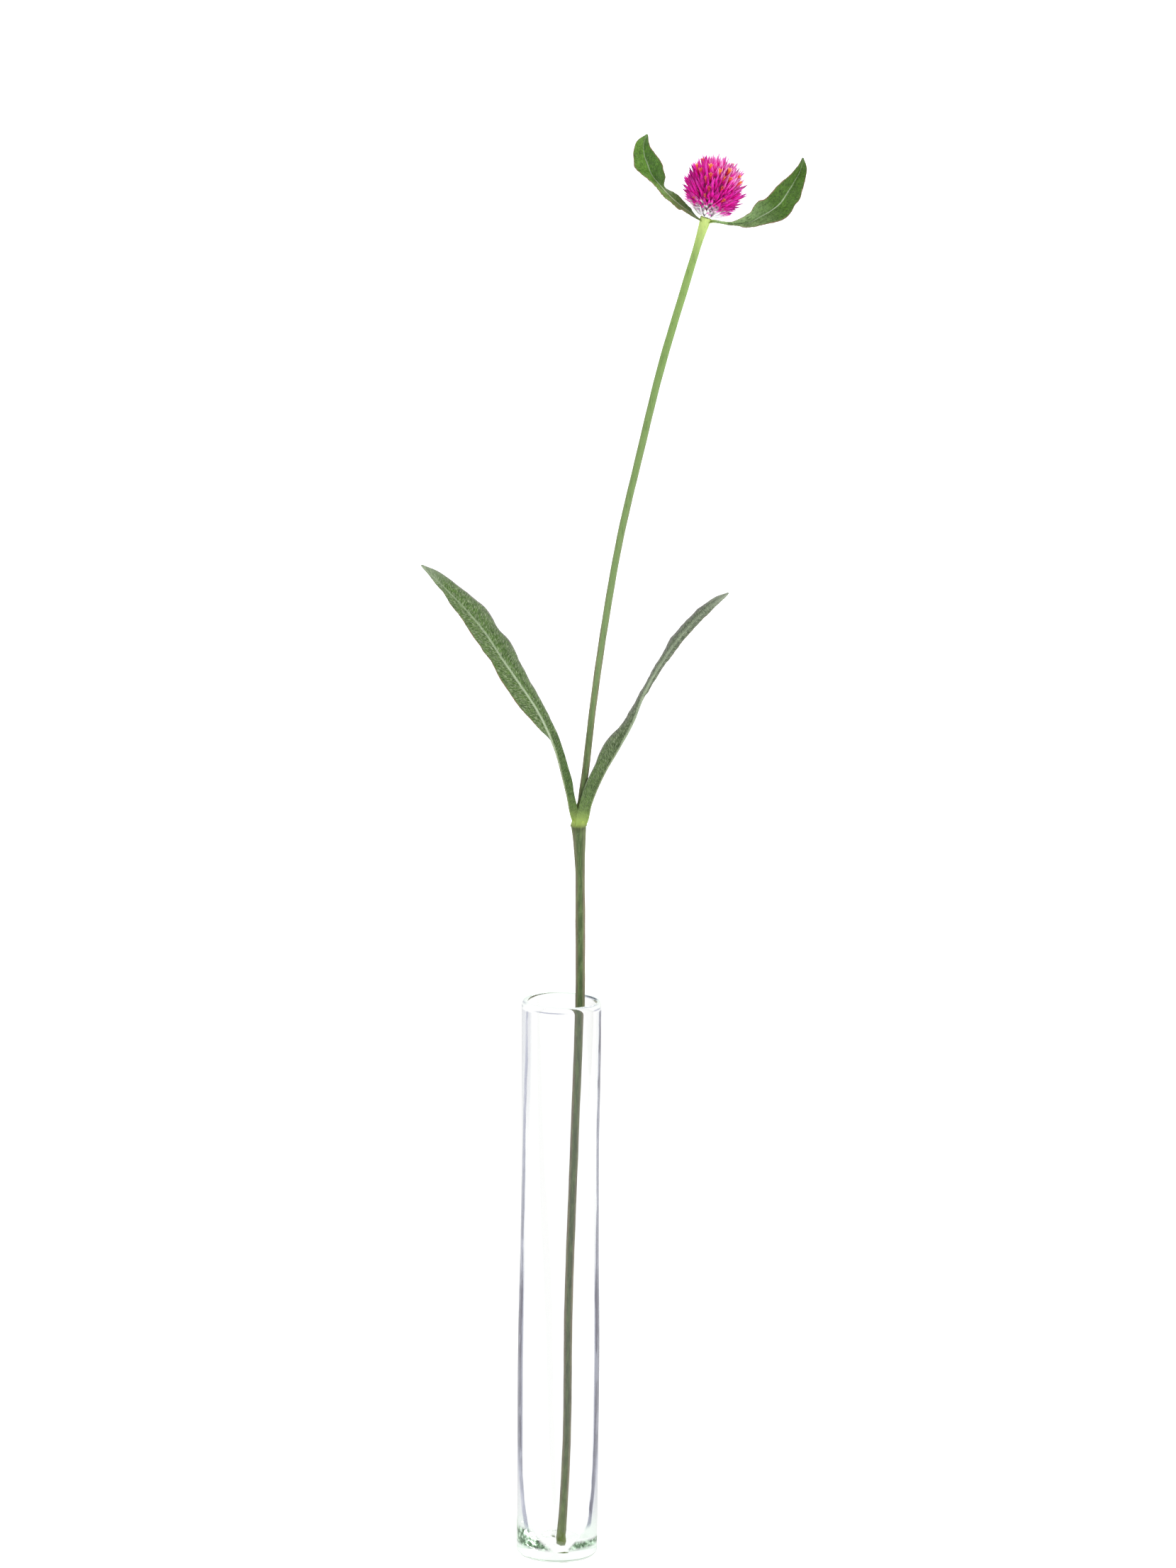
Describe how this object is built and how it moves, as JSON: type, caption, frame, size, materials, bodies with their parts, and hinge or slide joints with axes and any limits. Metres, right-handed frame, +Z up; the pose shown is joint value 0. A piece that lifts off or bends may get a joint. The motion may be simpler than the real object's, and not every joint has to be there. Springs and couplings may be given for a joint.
{
  "type": "globe amaranth in vase",
  "caption": "Tall clear glass tube vase holding a leaning cut stem with long narrow leaves at a swollen joint and a round magenta bloom of pointed bracts.",
  "frame": {"origin": "middle of the vase's flat foot", "axes": "+Z up along the vase, +X towards the side that the flower leans to, -Y to the front"},
  "size_m": [0.1495, 0.0554, 0.5744],
  "materials": {
    "clear_glass": "clear, smooth, very slightly green where it is thick",
    "stem_green": "soft plant skin with fine hairs, satin",
    "lower_leaf_green": "soft matte leaf with silvery hairs",
    "upper_leaf_green": "soft matte leaf",
    "bract_magenta": "dry papery bracts with a silky sheen"
  },
  "bodies": {
    "root": {"vase": "clear_glass", "stem": "stem_green", "leaf_lower_left": "lower_leaf_green", "leaf_lower_right": "lower_leaf_green", "leaf_upper_left": "upper_leaf_green", "leaf_upper_right": "upper_leaf_green", "flower_head": "bract_magenta"}
  },
  "joints": []
}
